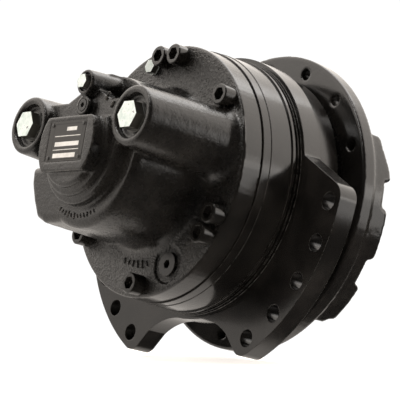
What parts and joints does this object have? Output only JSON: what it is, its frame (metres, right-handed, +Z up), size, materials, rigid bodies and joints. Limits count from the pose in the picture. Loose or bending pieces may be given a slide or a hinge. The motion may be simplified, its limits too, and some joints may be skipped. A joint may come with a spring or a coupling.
{
  "type": "hydraulic motor",
  "caption": "Radial piston hydraulic wheel motor with a lobed mounting flange, plugged ports and a castellated wheel hub.",
  "frame": {"origin": "centre of the mounting face, on the shaft axis", "axes": "+X along the shaft towards the wheel hub, +Z up through the drain port, the two lobes hang below to -Y and +Y"},
  "size_m": [0.291, 0.3874, 0.3297],
  "materials": {
    "black_cast": "satin black paint over rough casting",
    "black_machined": "gloss black paint over turned steel",
    "white_plug": "semi-gloss moulded plastic",
    "nameplate": "dark printed foil, satin",
    "zinc_steel": "plain machined steel, oiled",
    "hard_steel": "ground hardened steel",
    "cast_inner": "machined cast iron",
    "seal_rubber": "moulded nitrile rubber"
  },
  "bodies": {
    "housing": {"distribution_cover": "black_cast", "nameplate": "nameplate", "nameplate_rivets": "black_machined", "port_plug_a": "white_plug", "port_plug_b": "white_plug", "drain_plug": "white_plug", "case_port_plug": "white_plug", "gallery_plug": "black_machined", "flange_socket_plug": "black_machined", "cover_screws": "black_machined", "dowel_pins": "hard_steel", "cover_o_ring": "seal_rubber", "cam_ring": "black_machined", "support_o_ring": "seal_rubber", "distributor": "cast_inner", "distributor_seals": "seal_rubber", "distributor_springs": "hard_steel", "distributor_pin": "hard_steel", "bearing_support": "black_cast", "inner_bearing_cup": "hard_steel", "outer_bearing_cup": "hard_steel", "shaft_seal": "seal_rubber", "seal_circlip": "zinc_steel"},
    "rotor": {"output_shaft": "zinc_steel", "cylinder_block": "cast_inner", "block_circlip": "zinc_steel", "inner_bearing_cone": "hard_steel", "outer_bearing_cone": "hard_steel", "bearing_nut": "zinc_steel", "lock_washer": "zinc_steel", "wheel_hub": "black_cast", "hub_screws": "zinc_steel"},
    "inner_cage": {"inner_bearing_rollers": "hard_steel"},
    "outer_cage": {"outer_bearing_rollers": "hard_steel"},
    "piston_1": {"piston_1": "hard_steel"},
    "roller_1": {"roller_1": "hard_steel"},
    "piston_2": {"piston_2": "hard_steel"},
    "roller_2": {"roller_2": "hard_steel"},
    "piston_3": {"piston_3": "hard_steel"},
    "roller_3": {"roller_3": "hard_steel"},
    "piston_4": {"piston_4": "hard_steel"},
    "roller_4": {"roller_4": "hard_steel"},
    "piston_5": {"piston_5": "hard_steel"},
    "roller_5": {"roller_5": "hard_steel"},
    "piston_6": {"piston_6": "hard_steel"},
    "roller_6": {"roller_6": "hard_steel"},
    "piston_7": {"piston_7": "hard_steel"},
    "roller_7": {"roller_7": "hard_steel"},
    "piston_8": {"piston_8": "hard_steel"},
    "roller_8": {"roller_8": "hard_steel"}
  },
  "joints": [
    {"name": "output_spin", "type": "hinge", "parent": "housing", "child": "rotor", "pos_m": [0, 0, 0], "axis": [1, 0, 0], "continuous": true},
    {"name": "inner_cage_spin", "type": "hinge", "parent": "housing", "child": "inner_cage", "pos_m": [0.007, 0, 0], "axis": [1, 0, 0], "continuous": true},
    {"name": "outer_cage_spin", "type": "hinge", "parent": "housing", "child": "outer_cage", "pos_m": [0.033, 0, 0], "axis": [1, 0, 0], "continuous": true},
    {"name": "piston_stroke_1", "type": "slide", "parent": "rotor", "child": "piston_1", "axis": [0, -1, 0], "range_m": [0, 0.003]},
    {"name": "roller_spin_1", "type": "hinge", "parent": "piston_1", "child": "roller_1", "pos_m": [-0.0295, -0.078, 0], "axis": [1, 0, 0], "continuous": true},
    {"name": "piston_stroke_2", "type": "slide", "parent": "rotor", "child": "piston_2", "axis": [0, -0.7071, 0.7071], "range_m": [0, 0.003]},
    {"name": "roller_spin_2", "type": "hinge", "parent": "piston_2", "child": "roller_2", "pos_m": [-0.0295, -0.05515, 0.05515], "axis": [1, 0, 0], "continuous": true},
    {"name": "piston_stroke_3", "type": "slide", "parent": "rotor", "child": "piston_3", "axis": [0, 0, 1], "range_m": [0, 0.003]},
    {"name": "roller_spin_3", "type": "hinge", "parent": "piston_3", "child": "roller_3", "pos_m": [-0.0295, 0, 0.078], "axis": [1, 0, 0], "continuous": true},
    {"name": "piston_stroke_4", "type": "slide", "parent": "rotor", "child": "piston_4", "axis": [0, 0.7071, 0.7071], "range_m": [0, 0.003]},
    {"name": "roller_spin_4", "type": "hinge", "parent": "piston_4", "child": "roller_4", "pos_m": [-0.0295, 0.05515, 0.05515], "axis": [1, 0, 0], "continuous": true},
    {"name": "piston_stroke_5", "type": "slide", "parent": "rotor", "child": "piston_5", "axis": [0, 1, 0], "range_m": [0, 0.003]},
    {"name": "roller_spin_5", "type": "hinge", "parent": "piston_5", "child": "roller_5", "pos_m": [-0.0295, 0.078, 0], "axis": [1, 0, 0], "continuous": true},
    {"name": "piston_stroke_6", "type": "slide", "parent": "rotor", "child": "piston_6", "axis": [0, 0.7071, -0.7071], "range_m": [0, 0.003]},
    {"name": "roller_spin_6", "type": "hinge", "parent": "piston_6", "child": "roller_6", "pos_m": [-0.0295, 0.05515, -0.05515], "axis": [1, 0, 0], "continuous": true},
    {"name": "piston_stroke_7", "type": "slide", "parent": "rotor", "child": "piston_7", "axis": [0, 0, -1], "range_m": [0, 0.003]},
    {"name": "roller_spin_7", "type": "hinge", "parent": "piston_7", "child": "roller_7", "pos_m": [-0.0295, 0, -0.078], "axis": [1, 0, 0], "continuous": true},
    {"name": "piston_stroke_8", "type": "slide", "parent": "rotor", "child": "piston_8", "axis": [0, -0.7071, -0.7071], "range_m": [0, 0.003]},
    {"name": "roller_spin_8", "type": "hinge", "parent": "piston_8", "child": "roller_8", "pos_m": [-0.0295, -0.05515, -0.05515], "axis": [1, 0, 0], "continuous": true}
  ],
  "couplings": [
    {"joint": "inner_cage_spin", "follows": "output_spin", "ratio": 0.4538},
    {"joint": "outer_cage_spin", "follows": "output_spin", "ratio": 0.4583},
    {"joint": "roller_spin_1", "follows": "output_spin", "ratio": -7.7917},
    {"joint": "piston_stroke_2", "follows": "piston_stroke_1", "ratio": 1},
    {"joint": "roller_spin_2", "follows": "output_spin", "ratio": -7.7917},
    {"joint": "piston_stroke_3", "follows": "piston_stroke_1", "ratio": 1},
    {"joint": "roller_spin_3", "follows": "output_spin", "ratio": -7.7917},
    {"joint": "piston_stroke_4", "follows": "piston_stroke_1", "ratio": 1},
    {"joint": "roller_spin_4", "follows": "output_spin", "ratio": -7.7917},
    {"joint": "piston_stroke_5", "follows": "piston_stroke_1", "ratio": 1},
    {"joint": "roller_spin_5", "follows": "output_spin", "ratio": -7.7917},
    {"joint": "piston_stroke_6", "follows": "piston_stroke_1", "ratio": 1},
    {"joint": "roller_spin_6", "follows": "output_spin", "ratio": -7.7917},
    {"joint": "piston_stroke_7", "follows": "piston_stroke_1", "ratio": 1},
    {"joint": "roller_spin_7", "follows": "output_spin", "ratio": -7.7917},
    {"joint": "piston_stroke_8", "follows": "piston_stroke_1", "ratio": 1},
    {"joint": "roller_spin_8", "follows": "output_spin", "ratio": -7.7917}
  ]
}
